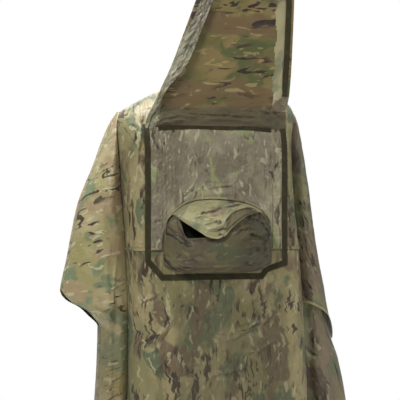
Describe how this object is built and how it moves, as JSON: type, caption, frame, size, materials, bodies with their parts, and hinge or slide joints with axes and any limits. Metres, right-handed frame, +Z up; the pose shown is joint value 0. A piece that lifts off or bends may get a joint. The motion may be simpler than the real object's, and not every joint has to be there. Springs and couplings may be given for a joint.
{
  "type": "rain poncho",
  "caption": "Hooded rain poncho with half sleeves, worn: rear flap lifted off the pack panel, open neck, cuffs and hem, hood pouch on the back.",
  "frame": {"origin": "middle of the neck opening at the height of the shoulder seams, where the wearer's shoulders hold it", "axes": "+Z up along the standing wearer, -Y out of the garment's back, +X to the right of somebody who stands behind it"},
  "size_m": [0.8493, 0.4034, 1.3909],
  "materials": {
    "cloth": "coated woven nylon, soft sheen, camouflage print",
    "inner_cloth": "thin crumpled coated nylon, paler",
    "flap_inside": "coated inner side of the cloth, darker",
    "tape": "matt hook-and-loop tape"
  },
  "bodies": {
    "root": {"back_yoke": "cloth", "back_lower": "cloth", "front": "cloth", "left_side_back": "cloth", "left_side_front": "cloth", "right_sleeve_back": "cloth", "right_sleeve_front": "cloth", "right_side": "cloth", "inner_panel": "inner_cloth", "hood_bag": "cloth", "hood_brim": "cloth", "rear_flap": "flap_inside", "frame_tape": "tape", "panel_binding": "tape", "flap_tape": "tape"}
  },
  "joints": []
}
